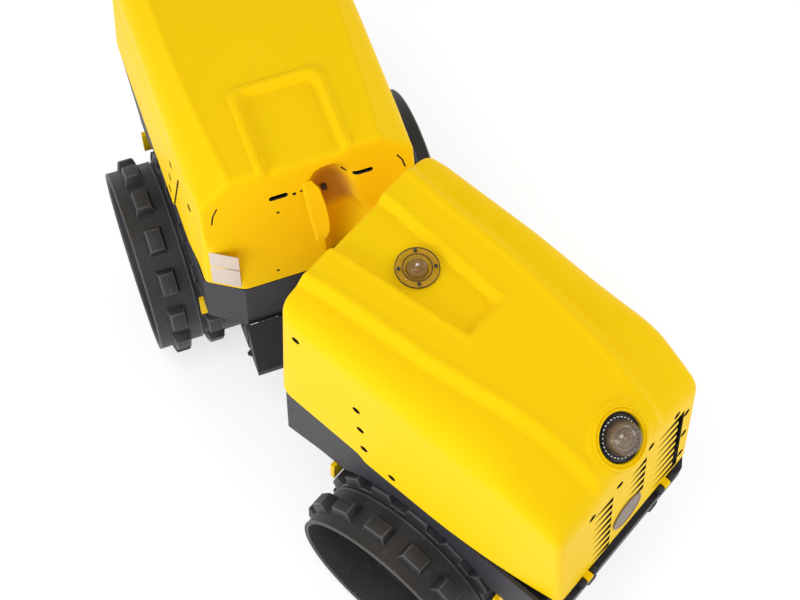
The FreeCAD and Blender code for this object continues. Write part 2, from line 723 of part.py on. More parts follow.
# --- steering joint --------------------------------------------------------------------------
def joint_block():
    """Casting that swivels on the rear frame's long trunnion and carries the steering pin."""
    outline = [(joint_back_x, joint_low_z), (joint_front_x, joint_low_z),
               (joint_front_x, joint_low_z + joint_toe_height), (joint_back_x, joint_slope_top_z)]
    body = prism_y(outline, -joint_half, joint_half)
    hub = rod_z(0, 0, hub_r_steer, joint_low_z, joint_top_z)
    trunnion = rod_x(0, trunnion_z, trunnion_r, rear_frame_front_x - trunnion_reach, 0)
    bore = rod_z(0, 0, pivot_pin_r + shaft_fit, joint_low_z - over, joint_top_z + over)
    post = rod_z(0, link_arm, eye_r, joint_low_z, link_z - eye_half - eye_seat_gap)
    return joined(body, hub, trunnion, post).cut(bore)


def steering_pin():
    low = joint_low_z - ear_gap - ear_wall - pin_reach
    high = joint_top_z + ear_gap + ear_wall
    return joined(rod_z(0, 0, pivot_pin_r, low, high),
                  rod_z(0, 0, pivot_pin_r + pin_head_wall, high, high + pin_head_height))


def steering_link():
    """Barrel and rod of the steering cylinder, in the front half's own straight frame."""
    turn = math.radians(steer_turn)
    eye = Vector(link_arm * math.sin(turn), link_arm * math.cos(turn), link_z)
    base = Vector(link_base_x, link_arm, link_z)
    along = eye - base
    reach = along.Length
    along.normalize()
    barrel = Part.makeCylinder(barrel_r, reach - eye_r - barrel_clear, base + along * barrel_start, along)
    barrel_eye = rod_z(base.x, base.y, barrel_r, link_z - barrel_eye_half, link_z + barrel_eye_half)
    neck = Part.makeCylinder(neck_r, neck_length, base, along)
    barrel = joined(barrel, barrel_eye, neck)
    barrel = barrel.cut(rod_z(base.x, base.y, link_pin_r + shaft_fit, link_z - barrel_r, link_z + barrel_r))
    bore = Part.makeCylinder(rod_r + shaft_fit, reach, base + along * barrel_bottom, along)
    barrel = barrel.cut(bore)
    foot = base + along * piston_start
    rod = Part.makeCylinder(rod_r - rod_step, reach - piston_start - rod_short, foot, along)
    piston = Part.makeCylinder(rod_r, piston_length, foot, along)
    rod_eye = rod_z(eye.x, eye.y, eye_r, link_z - eye_half, link_z + eye_half)
    bolt = rod_z(eye.x, eye.y, link_pin_r, link_z, link_z + eye_half + bolt_rise)
    rod = joined(rod, piston, rod_eye, bolt)
    return barrel, rod


def lash_lugs(x):
    """Two lashing eyes under a bumper: plates with a hole across the machine."""
    z = bumper_low_z - lash_drop
    near, far = lash_y - lash_wall / 2.0, lash_y + lash_wall / 2.0
    eye = joined(block(x - lash_eye_r, x + lash_eye_r, near, far, z, bumper_low_z),
                 rod_y(x, z, lash_eye_r, near, far))
    eye = eye.cut(rod_y(x, z, lash_hole_r, near - over, far + over))
    return Part.makeCompound([eye, other_side(eye)])


def hinge_pins(x, z):
    return Part.makeCompound([rod_y(x, z, hinge_pin_r, y - hinge_half, y + hinge_half)
                              for y in (-hinge_y, hinge_y)])


def plain_block(size, x):
    """Heavy inside piece standing on the deck with its rear face at x."""
    z0 = deck_z + plate
    return block(x, x + size[0], -size[1] / 2.0, size[1] / 2.0, z0, z0 + size[2])


# --- receivers and badge ---------------------------------------------------------------------
def top_eye_base():
    floor = crown_z - channel_depth
    ring = rod_z(top_eye_x, 0, eye_flange_r, floor, floor + eye_flange_wall)
    return ring.cut(rod_z(top_eye_x, 0, eye_dome_r - eye_bore_inset, floor - over, floor + eye_flange_wall + over))


def dome(r):
    """Hollow half sphere standing on z = 0."""
    shell = Part.makeSphere(r).cut(Part.makeSphere(r - eye_lens_wall))
    return shell.common(block(-2 * r, 2 * r, -2 * r, 2 * r, 0, 2 * r))


def top_eye_lens():
    cap = dome(eye_dome_r)
    cap.translate(Vector(top_eye_x, 0, crown_z - channel_depth + eye_flange_wall))
    return cap


def nose_eye_base():
    bore = nose_eye_rod(nose_dome_r - 2 * eye_bore_inset, -nose_eye_depth - over, nose_eye_rise + over)
    return nose_eye_rod(nose_eye_r, -nose_eye_depth, nose_eye_rise).cut(bore)


def nose_eye_lens():
    cap = dome(nose_dome_r)
    cap.translate(Vector(0, 0, nose_eye_rise))
    cap.rotate(Vector(0, 0, 0), Y_AXIS, nose_eye_tilt)
    cap.translate(Vector(nose_eye_x, 0, nose_eye_z))
    return cap


def badge():
    tilt = math.degrees(math.atan(face_lean))
    disc = Part.makeCylinder(badge_r, badge_wall, Vector(0, 0, 0), X_AXIS)
    disc.rotate(Vector(0, 0, 0), Y_AXIS, -tilt)
    disc.translate(Vector(face_x(badge_z), 0, badge_z))
    return disc


# --- the nodes -------------------------------------------------------------------------------
def front_half():
    barrel, rod = steering_link()
    drum = base_drum(front_axle_x, front_pad_turn)
    ring = drum_ring(front_axle_x, front_pad_turn)
    return {
        "front_frame": front_frame(),
        "front_axle_carrier": axle_carrier(front_axle_x),
        "front_axle": drum_axle(front_axle_x),
        "front_drum_left": drum,
        "front_drum_right": other_side(drum),
        "front_ring_left": ring,
        "front_ring_right": other_side(ring),
        "front_scraper_front": scraper(front_axle_x, 1),
        "front_scraper_rear": scraper(front_axle_x, -1),
        "front_lashing_eyes": lash_lugs(front_end_x - lash_inset),
        "engine_block": plain_block(engine_size, engine_x),
        "radiator": plain_block(radiator_size, radiator_x),
        "front_hood": front_hood(),
        "front_hood_hinge_pins": hinge_pins(front_hinge_x, front_hinge_z),
        "top_receiver_base": top_eye_base(),
        "top_receiver_lens": top_eye_lens(),
        "nose_receiver_base": nose_eye_base(),
        "nose_receiver_lens": nose_eye_lens(),
        "nose_badge": badge(),
        "steering_cylinder": barrel,
        "steering_rod": rod,
    }


def rear_half():
    drum = base_drum(rear_axle_x, rear_pad_turn)
    ring = drum_ring(rear_axle_x, rear_pad_turn)
    return {
        "rear_frame": rear_frame(),
        "rear_axle_carrier": axle_carrier(rear_axle_x),
        "rear_axle": drum_axle(rear_axle_x),
        "rear_drum_left": drum,
        "rear_drum_right": other_side(drum),
        "rear_ring_left": ring,
        "rear_ring_right": other_side(ring),
        "rear_scraper_front": scraper(rear_axle_x, 1),
        "rear_scraper_rear": scraper(rear_axle_x, -1),
        "rear_lashing_eyes": lash_lugs(rear_end_x + lash_inset),
        "hydraulic_tank": plain_block(tank_size, tank_x),
        "rear_hood": rear_hood(),
        "rear_hood_hinge_pins": hinge_pins(rear_hinge_x, rear_hinge_z),
        "joint_block": joint_block(),
        "steering_pin": steering_pin(),
    }


def write_parts():
    nodes = rear_half()
    for name, shape in front_half().items():
        nodes[name] = turned(shape, steer_turn, Vector(0, 0, 0), Z_AXIS)
    box = Part.makeCompound(list(nodes.values())).optimalBoundingBox()
    shift = Vector(-(box.XMin + box.XMax) / 2.0, -(box.YMin + box.YMax) / 2.0, -box.ZMin)
    os.makedirs("parts", exist_ok=True)
    for name, shape in nodes.items():
        shape.translate(shift)
        shape.exportStep("parts/" + name + ".step")
    print("steering axis at %.4f %.4f, ground raised %.4f" % (shift.x, shift.y, shift.z))
    print("size %.1f %.1f %.1f" % (box.XLength, box.YLength, box.ZLength))


write_parts()
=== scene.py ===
import json
import math

import bmesh
import bpy
import numpy as np
from mathutils import Matrix, Vector


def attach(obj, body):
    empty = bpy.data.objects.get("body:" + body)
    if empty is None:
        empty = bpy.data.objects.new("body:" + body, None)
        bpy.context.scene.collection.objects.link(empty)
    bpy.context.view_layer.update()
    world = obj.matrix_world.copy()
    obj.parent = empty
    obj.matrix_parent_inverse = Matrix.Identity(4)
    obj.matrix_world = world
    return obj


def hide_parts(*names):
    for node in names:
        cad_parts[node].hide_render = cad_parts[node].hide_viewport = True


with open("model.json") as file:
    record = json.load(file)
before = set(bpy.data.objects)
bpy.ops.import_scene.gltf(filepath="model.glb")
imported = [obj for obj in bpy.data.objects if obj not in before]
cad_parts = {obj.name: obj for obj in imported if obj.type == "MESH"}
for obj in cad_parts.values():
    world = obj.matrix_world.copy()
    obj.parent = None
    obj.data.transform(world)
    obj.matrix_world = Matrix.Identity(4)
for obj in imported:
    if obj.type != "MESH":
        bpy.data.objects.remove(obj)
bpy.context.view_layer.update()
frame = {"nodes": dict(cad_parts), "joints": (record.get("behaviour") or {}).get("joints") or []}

nodes = frame["nodes"]
joints = {joint["name"]: joint for joint in frame["joints"]}
bpy.ops.object.select_all(action="DESELECT")

# --- where the two halves stand ---------------------------------------------------------------
# Each half is described straight: nose to +X, left to +Y, from the steering axis on the ground.
STEER_TURN = math.radians(29.7)
steer_at = Vector(joints["steering"]["pos_m"])
REAR = Matrix.Translation((steer_at.x, steer_at.y, 0.0))
FRONT = REAR @ Matrix.Rotation(STEER_TURN, 4, "Z")


# --- camera -----------------------------------------------------------------------------------
SENSOR_WIDTH = 36.0
LENS = SENSOR_WIDTH * 1796.77 / 800.0
CAMERA_PLACE = (1.26726, -1.41376, 4.64722)   # from the front half
CAMERA_AZIMUTH = 2.20473                      # from the front half's nose, in radians
CAMERA_ELEVATION = 1.13224
CAMERA_ROLL = 0.07450


def add_camera():
    azimuth, elevation, roll = CAMERA_AZIMUTH + STEER_TURN, CAMERA_ELEVATION, CAMERA_ROLL
    ahead = Vector((math.cos(azimuth) * math.cos(elevation), math.sin(azimuth) * math.cos(elevation),
                    -math.sin(elevation)))
    right = Vector((math.sin(azimuth), -math.cos(azimuth), 0.0))
    up = right.cross(ahead)
    tilted_right = right * math.cos(roll) + up * math.sin(roll)
    tilted_up = up * math.cos(roll) - right * math.sin(roll)
    turn = Matrix((tilted_right, tilted_up, -ahead)).transposed().to_4x4()
    data = bpy.data.cameras.new("camera")
    data.sensor_width = SENSOR_WIDTH
    data.lens = LENS
    data.clip_end = 60.0
    camera = bpy.data.objects.new("camera", data)
    bpy.context.scene.collection.objects.link(camera)
    camera.matrix_world = Matrix.Translation(FRONT @ Vector(CAMERA_PLACE)) @ turn
    bpy.context.scene.camera = camera


# --- light and floor --------------------------------------------------------------------------
def add_softbox(name, place, aim, size, power):
    data = bpy.data.lights.new(name, "AREA")
    data.shape = "RECTANGLE"
    data.size, data.size_y = size
    data.energy = power
    lamp = bpy.data.objects.new(name, data)
    bpy.context.scene.collection.objects.link(lamp)
    lamp.location = place
    lamp.rotation_mode = "QUATERNION"
    lamp.rotation_quaternion = (Vector(aim) - Vector(place)).to_track_quat("-Z", "Y")


def add_studio():
    """Bright walls of light all round, dimmer overhead."""
    world = bpy.data.worlds.new("studio")
    world.use_nodes = True
    tree = world.node_tree
    where = tree.nodes.new("ShaderNodeTexCoord")
    parts = tree.nodes.new("ShaderNodeSeparateXYZ")
    tree.links.new(where.outputs["Generated"], parts.inputs["Vector"])
    fall = tree.nodes.new("ShaderNodeMapRange")
    fall.inputs["To Min"].default_value = 1.15
    fall.inputs["To Max"].default_value = 0.32
    tree.links.new(parts.outputs["Z"], fall.inputs["Value"])
    tree.links.new(fall.outputs["Result"], tree.nodes["Background"].inputs["Strength"])
    tree.nodes["Background"].inputs["Color"].default_value = (1.0, 1.0, 1.0, 1.0)
    bpy.context.scene.world = world
    bpy.context.scene.view_settings.view_transform = "Standard"
    add_softbox("key_softbox", (1.9, -4.2, 2.7), (0.0, 0.0, 0.7), (2.4, 1.8), 69.0)
    add_softbox("top_softbox", (0.7, -1.2, 4.6), (0.3, 0.0, 0.6), (1.4, 1.4), 34.0)
    add_softbox("far_softbox", (0.8, 3.2, 2.8), (0.5, 0.1, 0.8), (1.5, 1.5), 24.0)


# --- shader maths -----------------------------------------------------------------------------
class Signal:
    """An output socket that takes part in Python arithmetic by adding Math nodes."""

    def __init__(self, finish, socket):
        self.finish = finish
        self.socket = socket

    def maths(self, operation, *terms):
        return self.finish.node("ShaderNodeMath", {"operation": operation}, dict(enumerate(terms)))

    def __add__(self, other):
        return self.maths("ADD", self, other)

    __radd__ = __add__

    def __sub__(self, other):
        return self.maths("SUBTRACT", self, other)

    def __rsub__(self, other):
        return self.maths("SUBTRACT", other, self)

    def __mul__(self, other):
        return self.maths("MULTIPLY", self, other)

    __rmul__ = __mul__

    def above(self, edge, softness):
        """0 well under edge, 1 well over it."""
        return self.finish.node("ShaderNodeMapRange", {"clamp": True, "interpolation_type": "SMOOTHSTEP"},
                                {"Value": self, "From Min": edge - softness, "From Max": edge + softness,
                                 "To Min": 0.0, "To Max": 1.0})


class Finish:
    """A material under construction."""

    def __init__(self, name):
        self.material = bpy.data.materials.new(name)
        self.material.use_nodes = True
        self.tree = self.material.node_tree
        self.tree.nodes.clear()
        self.output = self.tree.nodes.new("ShaderNodeOutputMaterial")

    def node(self, kind, settings=None, values=None, output=0):
        made = self.tree.nodes.new(kind)
        for name, value in (settings or {}).items():
            setattr(made, name, value)
        for name, value in (values or {}).items():
            if isinstance(value, Signal):
                self.tree.links.new(value.socket, made.inputs[name])
            else:
                made.inputs[name].default_value = value
        return Signal(self, made.outputs[output])

    def place(self):
        return self.node("ShaderNodeTexCoord", output=3)

    def noise(self, scale, detail=3.0, roughness=0.5):
        return self.node("ShaderNodeTexNoise", None, {"Vector": self.place(), "Scale": scale,
                                                      "Detail": detail, "Roughness": roughness})

    def mix(self, factor, low, high):
        made = self.tree.nodes.new("ShaderNodeMix")
        made.data_type = "RGBA"
        for index, value in ((0, factor), (6, low), (7, high)):
            if isinstance(value, Signal):
                self.tree.links.new(value.socket, made.inputs[index])
            else:
                made.inputs[index].default_value = value if index == 0 else (*value, 1.0)
        return Signal(self, made.outputs[2])

    def bump(self, height, strength, distance):
        return self.node("ShaderNodeBump", None, {"Height": height, "Strength": strength, "Distance": distance})

    def surface(self, **values):
        named = {key.replace("_", " ").title().replace("Ior", "IOR"): value for key, value in values.items()}
        shader = self.node("ShaderNodeBsdfPrincipled", None, named)
        self.tree.links.new(shader.socket, self.output.inputs["Surface"])
        return self.material


# --- finishes ---------------------------------------------------------------------------------
def hood_yellow(name="hood_yellow", shade_middle=None):
    """Gloss yellow paint; the point given, when there is one, is the middle of a brown patch of painted shade.
    """
    f = Finish(name)
    drift = f.noise(3.0, 2.0)
    dust = f.noise(26.0, 4.0, 0.6)
    colour = f.mix(drift, (0.935, 0.60, 0.004), (0.965, 0.635, 0.006))
    colour = f.mix(dust.above(0.66, 0.1) * 0.2, colour, (0.90, 0.57, 0.012))
    if shade_middle is not None:
        # Painted shade: brown towards the middle of the hollow in the rear hood's face, for the shade deep
        # inside it.
        away = f.node("ShaderNodeVectorMath", {"operation": "DISTANCE"}, {0: f.place(), 1: shade_middle}, 1)
        colour = f.mix(1.0 - away.above(0.066, 0.022), colour, (0.60, 0.31, 0.05))
    peel = f.bump(f.noise(420.0, 2.0), 0.05, 0.0006)
    return f.surface(base_color=colour, roughness=dust * 0.1 + 0.40, specular_ior_level=0.05,
                     specular_tint=(1.0, 0.78, 0.10, 1.0), normal=peel)


def frame_grey():
    f = Finish("frame_grey")
    grain = f.noise(60.0, 5.0, 0.65)
    grime = f.noise(7.0, 4.0, 0.6)
    colour = f.mix(grime, (0.020, 0.020, 0.026), (0.031, 0.031, 0.039))
    colour = f.mix(grain.above(0.68, 0.05) * 0.5, colour, (0.10, 0.095, 0.10))
    return f.surface(base_color=colour, roughness=grain * 0.2 + 0.42, specular_ior_level=0.32,
                     normal=f.bump(grain, 0.15, 0.0006))


def drum_iron():
    f = Finish("drum_iron")
    skin = f.noise(48.0, 6.0, 0.7)
    scuff = f.noise(9.0, 5.0, 0.7)
    colour = f.mix(scuff, (0.0145, 0.0152, 0.019), (0.033, 0.034, 0.040))
    colour = f.mix(skin.above(0.64, 0.05) * 0.6, colour, (0.085, 0.081, 0.082))
    return f.surface(base_color=colour, roughness=skin * 0.25 + 0.45,
                     normal=f.bump(skin, 0.35, 0.0012))


def bare_steel():
    f = Finish("bare_steel")
    lay = f.noise(90.0, 3.0)
    return f.surface(base_color=f.mix(lay, (0.42, 0.42, 0.43), (0.55, 0.55, 0.56)), metallic=1.0,
                     roughness=lay * 0.2 + 0.25)


def plated_rod():
    f = Finish("plated_rod")
    lay = f.noise(30.0, 2.0)
    return f.surface(base_color=f.mix(lay, (0.62, 0.62, 0.64), (0.70, 0.70, 0.72)), metallic=1.0,
                     roughness=lay * 0.06 + 0.08)


def black_housing():
    f = Finish("black_housing")
    grain = f.noise(160.0, 2.0)
    return f.surface(base_color=f.mix(grain, (0.012, 0.011, 0.011), (0.03, 0.028, 0.027)),
                     roughness=grain * 0.2 + 0.3, normal=f.bump(grain, 0.2, 0.0004))


def smoked_glass(name, tint, cover):
    """Thin tinted plastic; cover is how much of what lies behind it is hidden."""
    f = Finish(name)
    haze = f.noise(30.0, 3.0)
    colour = f.mix(haze, tint, [share * 1.3 for share in tint])
    return f.surface(base_color=colour, roughness=haze * 0.06 + 0.04, alpha=haze * 0.12 + (cover - 0.06),
                     specular_ior_level=0.9, coat_weight=0.6, coat_roughness=0.03)


def reflector():
    f = Finish("reflector")
    ripple = f.noise(120.0, 2.0)
    return f.surface(base_color=f.mix(ripple, (0.24, 0.18, 0.12), (0.55, 0.47, 0.36)), metallic=0.7,
                     roughness=ripple * 0.3 + 0.2, normal=f.bump(ripple, 0.6, 0.002))


def receiver_core():
    f = Finish("receiver_core")
    ripple = f.noise(160.0, 3.0)
    return f.surface(base_color=f.mix(ripple, (0.06, 0.025, 0.006), (0.30, 0.17, 0.05)),
                     roughness=ripple * 0.2 + 0.25)


def badge_plate():
    f = Finish("badge_plate")
    ripple = f.noise(18.0, 3.0)
    return f.surface(base_color=f.mix(ripple, (0.17, 0.115, 0.075), (0.27, 0.20, 0.15)),
                     roughness=ripple * 0.15 + 0.35, specular_ior_level=0.3)


def pale_plate():
    f = Finish("pale_plate")
    ripple = f.noise(24.0, 3.0)
    return f.surface(base_color=f.mix(ripple, (0.60, 0.50, 0.43), (0.68, 0.59, 0.52)),
                     roughness=ripple * 0.1 + 0.4, normal=f.bump(ripple, 0.1, 0.0004))


def painted_shade_inside():
    """Painted shade: near black on the inner side of a pressed panel and on the walls of holes cut through it,
    where the sheet is really yellow.
    """
    f = Finish("painted_shade_inside")
    grain = f.noise(30.0, 3.0)
    return f.surface(base_color=f.mix(grain, (0.010, 0.007, 0.004), (0.018, 0.012, 0.007)), roughness=0.85)


def worn_edge():
    """Iron rubbed light along its edges."""
    f = Finish("worn_edge")
    rub = f.noise(70.0, 5.0, 0.7)
    return f.surface(base_color=f.mix(rub, (0.045, 0.043, 0.047), (0.13, 0.126, 0.13)), metallic=0.2,
                     roughness=rub * 0.2 + 0.38)


def plain_grey():
    f = Finish("plain_grey")
    grain = f.noise(40.0, 4.0)
    return f.surface(base_color=f.mix(grain, (0.03, 0.03, 0.032), (0.06, 0.06, 0.062)),
                     roughness=grain * 0.2 + 0.5, normal=f.bump(grain, 0.3, 0.001))


def studio_floor():
    f = Finish("studio_floor")
    grain = f.noise(3.0, 2.0)
    return f.surface(base_color=f.mix(grain, (0.60, 0.60, 0.605), (0.62, 0.62, 0.625)), roughness=0.8,
                     specular_ior_level=0.2, emission_color=(1.0, 1.0, 1.0, 1.0), emission_strength=0.58)


# --- panel skins ------------------------------------------------------------------------------
# Sizes of the hoods are in millimetres, each half straight.
def soft_max(one, other, radius):
    """The larger of two distances, rounded over where they are within radius of each other."""
    share = np.clip(0.5 + 0.5 * (one - other) / radius, 0.0, 1.0)
    return other + (one - other) * share + radius * share * (1.0 - share)


def soft_min(one, other, radius):
    return -soft_max(-one, -other, radius)


def fade(value, start, end):
    """0 at start, 1 at end, with level ends."""
    share = np.clip((value - start) / (end - start), 0.0, 1.0)
    return share * share * (3.0 - 2.0 * share)


def edge_height(x, corners):
    return np.interp(x, [corner[0] for corner in corners], [corner[1] for corner in corners])


# Height of the front hood's lower edge at each x, from back to nose.
FRONT_EDGE = [(87.0, 688.0), (345.0, 672.0), (370.0, 652.0), (660.0, 648.0), (926.0, 640.0)]
FRONT_FOOT_X = 926.0
FRONT_FOOT_Z = 640.0
FRONT_LEAN = 0.125                # the front face leans back by this much per unit of height


def front_face_x(z):
    return FRONT_FOOT_X - FRONT_LEAN * (z - FRONT_FOOT_Z)


def front_crown(x):
    """Height of the middle of the front hood."""
    level = 1141.0 + 3.0 * fade(x, 88.0, 420.0)
    nose = 1098.0 - 0.56 * (x - 780.0)
    return soft_min(level, nose, 46.0)


def front_top(x, y):
    """Height of the front hood's top: plateau, its soft edge ridge, shoulder slope and recess."""
    side = np.abs(y)
    ridge_y = np.interp(x, [88.0, 195.0, 420.0, 620.0, 780.0, 900.0],
                        [176.0, 166.0, 154.0, 128.0, 108.0, 100.0])
    past = side - ridge_y
    height = front_crown(x)
    height = height + 4.0 * np.exp(-((past + 6.0) / 12.0) ** 2)
    height = height - 18.0 * fade(past, -2.0, 25.0) - 0.13 * np.maximum(past, 0.0)
    rim = np.interp(x, [88.0, 462.0], [89.0, 58.5])
    inside = soft_min(rim - side, 463.0 - x, 12.0)
    height = height + 2.5 * np.exp(-((inside + 6.0) / 7.0) ** 2)
    return height - 21.0 * fade(inside, -2.0, 17.0)


def front_skin(x, y, z):
    """Distance outside the front hood's outer skin."""
    side = np.abs(y)
    wall = side - (281.0 - 0.033 * (z - 650.0))
    taper = ((x - 715.0) * 34.0 + (side - 280.0) * 211.0) / 213.7
    wall = soft_max(wall, taper, 26.0)
    wall = soft_max(wall, 87.0 - x, 52.0)
    wall = soft_max(wall, (x - front_face_x(z)) * 0.992, 20.0)
    top = (z - front_top(x, y)) * 0.94
    rounding = (64.0 - 28.0 * fade(-x, -130.0, -88.0) + 22.0 * fade(x, 380.0, 600.0)
                - 40.0 * fade(x, 630.0, 770.0))
    skin = soft_max(wall, top, rounding)
    away = np.hypot((x - 836.0) / 0.80, y)
    boss = soft_max((z - (1098.0 - 0.70 * (x - 780.0) + 12.0)) * 0.82, away - 87.0, 14.0)
    return soft_min(skin, soft_max(boss, wall, 26.0), 9.0)


REAR_EDGE = 666.0                 # height of the rear hood's lower edge
REAR_FOOT_X = -56.0
REAR_LEAN = 0.216                 # its front face leans back by this much per unit of height
FACET_ALONG, FACET_ACROSS = 0.852, 0.523      # facing of its corner facets
FACET_X = -57.0
FACET_Y = 190.0


def rear_top(x, y):
    """Height of the rear hood's top, with the sunken panel and its raised rim."""
    side = np.abs(y)
    height = 1056.0 - 0.010 * np.maximum(-360.0 - x, 0.0) - 0.02 * np.maximum(-600.0 - x, 0.0)
    inside = soft_min(112.0 - side, x + 372.0, 34.0)
    height = height + 8.0 * (fade(inside, -9.0, 2.0) - fade(inside, 11.0, 20.0))
    height = height - 11.0 * fade(inside, 11.0, 25.0)
    ridge = np.interp(-x, [140.0, 279.0, 501.0, 900.0], [184.0, 197.0, 211.0, 216.0])
    past = side - ridge
    slope = 0.80 * soft_max(past, np.zeros_like(past), 8.0)
    return height - slope + 2.5 * np.exp(-((past + 3.0) / 10.0) ** 2)


def rear_skin(x, y, z):
    """Distance outside the rear hood's outer skin."""
    side = np.abs(y)
    cover = fade(0.286 * (z - 891.0) - 276.0 - x, -2.0, 3.0) * fade(-z, -930.0, -880.0)
    wall = side - (280.0 - 0.034 * (z - REAR_EDGE) - 6.0 * fade(x, -240.0, -150.0) + 4.0 * cover)
    face = (x - REAR_FOOT_X + REAR_LEAN * (z - REAR_EDGE)) * 0.977
    facet = (x - FACET_X) * FACET_ALONG + (side - FACET_Y) * FACET_ACROSS
    face = soft_max(face, facet, 7.0)
    wall = soft_max(wall, face, 9.0)
    tail = -(x + 896.0 - 0.10 * (z - REAR_EDGE)) * 0.995
    wall = soft_max(wall, tail, 60.0)
    top = (z - rear_top(x, y)) * 0.90
    rounding = 34.0 - 21.0 * fade(x, -230.0, -150.0)
    skin = soft_max(wall, top, rounding)
    lean_x = -48.0 - REAR_LEAN * (z - REAR_EDGE)
    above = np.maximum(z - 950.0, 0.0)
    middle_y = 50.0 + 34.0 * fade(-z, -900.0, -790.0)
    hollow = np.sqrt((x - lean_x) ** 2 + (y - middle_y) ** 2 + above ** 2) - 56.0
    open_side = fade(y, 20.0, 70.0)
    return soft_max(skin, -hollow, 8.0 + 16.0 * open_side)


def select_edges_along(axis):
    """Selects the edges of the mesh being edited that run along one axis."""
    mesh = bmesh.from_edit_mesh(bpy.context.object.data)
    for edge in mesh.edges:
        way = edge.verts[1].co - edge.verts[0].co
        edge.select_set(abs(way[axis]) > 0.999 * way.length)
    bmesh.update_edit_mesh(bpy.context.object.data)


def gridded_box(name, low, high, cuts):
    """A box with an even grid of faces and no floor."""
    bpy.ops.object.select_all(action="DESELECT")
    middle = [(a + b) / 2.0 for a, b in zip(low, high)]
    bpy.ops.mesh.primitive_cube_add(size=1.0, location=middle)
    piece = bpy.context.object
    piece.name = name
    piece.scale = [b - a for a, b in zip(low, high)]
    bpy.ops.object.transform_apply(location=True, rotation=False, scale=True)
    bpy.ops.object.mode_set(mode="EDIT")
    bpy.ops.mesh.select_mode(type="EDGE")
    for axis in range(3):
        select_edges_along(axis)
        bpy.ops.mesh.subdivide(number_cuts=cuts[axis])
    bpy.ops.mesh.select_mode(type="FACE")
    mesh = bmesh.from_edit_mesh(piece.data)
    for face in mesh.faces:
        face.select_set(face.calc_center_median().z < low[2] + 1e-4)
    bmesh.update_edit_mesh(piece.data)
    bpy.ops.mesh.delete(type="FACE")
    bpy.ops.object.mode_set(mode="OBJECT")
    return piece


def press_panel(piece, core_low, core_high, skin, foot):
    """Moves each vertex of a gridded box out from the core until it lies on the skin."""
    mesh = piece.data
    points = np.empty(len(mesh.vertices) * 3)
    mesh.vertices.foreach_get("co", points)
    points = points.reshape(-1, 3) * 1000.0
    low, high = points[:, 2].min(), points[:, 2].max()
    edge = foot(points[:, 0])
    points[:, 2] = edge + (points[:, 2] - low) * (high - edge) / (high - low)
    core = np.clip(points, core_low, core_high)
    way = points - core
    way /= np.linalg.norm(way, axis=1)[:, None]
    near = np.zeros(len(points))
    far = np.full(len(points), 420.0)
    for _ in range(32):
        half = (near + far) / 2.0
        out = skin(*(core + way * half[:, None]).T) > 0.0
        far = np.where(out, half, far)
        near = np.where(out, near, half)
    points = core + way * near[:, None]
    mesh.vertices.foreach_set("co", (points / 1000.0).ravel())
    mesh.update()


def apply_modifier(piece, kind, **settings):
    bpy.ops.object.select_all(action="DESELECT")
    bpy.context.view_layer.objects.active = piece
    piece.select_set(True)
    modifier = piece.modifiers.new(kind, kind)
    for name, value in settings.items():
        setattr(modifier, name, value)
    bpy.ops.object.modifier_apply(modifier=modifier.name)


HOOD_WALL = 0.005
SHARP_ANGLE = math.radians(32.0)


def line_panel(piece, paints):
    """Gives a pressed sheet its wall, with painted shade on the inside."""
    piece.data.materials.append(paints["yellow"])
    piece.data.materials.append(paints["dark"])
    apply_modifier(piece, "SOLIDIFY", thickness=HOOD_WALL, offset=-1.0, material_offset=1)


def start_box(low, high):
    """Box between two corners, in millimetres of its half."""
    bpy.ops.object.select_all(action="DESELECT")
    bpy.ops.mesh.primitive_cube_add(size=1.0, location=[(a + b) / 2000.0 for a, b in zip(low, high)])
    piece = bpy.context.object
    piece.scale = [(b - a) / 1000.0 for a, b in zip(low, high)]
    bpy.ops.object.transform_apply(location=True, rotation=False, scale=True)
    return piece


def start_rod(middle, way, radius, length, sides=32):
    """Straight rod about a middle point, in millimetres of its half."""
    bpy.ops.object.select_all(action="DESELECT")
    bpy.ops.mesh.primitive_cylinder_add(vertices=sides, radius=radius / 1000.0, depth=length / 1000.0)
    piece = bpy.context.object
    turn = Vector(way).to_track_quat("Z", "Y").to_matrix().to_4x4()
    piece.data.transform(Matrix.Translation(Vector(middle) / 1000.0) @ turn)
    return piece


def join(pieces):
    bpy.ops.object.select_all(action="DESELECT")
    for piece in pieces:
        piece.select_set(True)
    bpy.context.view_layer.objects.active = pieces[0]
    bpy.ops.object.join()
    return bpy.context.object


def cut_out(piece, tools):
    """Takes the joined tools out of the piece; the cut faces get the piece's last material."""
    tool = join(tools)
    tool.data.materials.clear()
    for material in piece.data.materials:
        tool.data.materials.append(material)
    for face in tool.data.polygons:
        face.material_index = max(len(piece.data.materials) - 1, 0)
    whole = start_box((-3000.0, -3000.0, -3000.0), (3000.0, 3000.0, 3000.0))
    apply_modifier(tool, "BOOLEAN", object=whole, operation="INTERSECT", solver="EXACT", use_self=True)
    bpy.data.objects.remove(whole)
    apply_modifier(piece, "BOOLEAN", object=tool, operation="DIFFERENCE", solver="EXACT")
    bpy.data.objects.remove(tool)


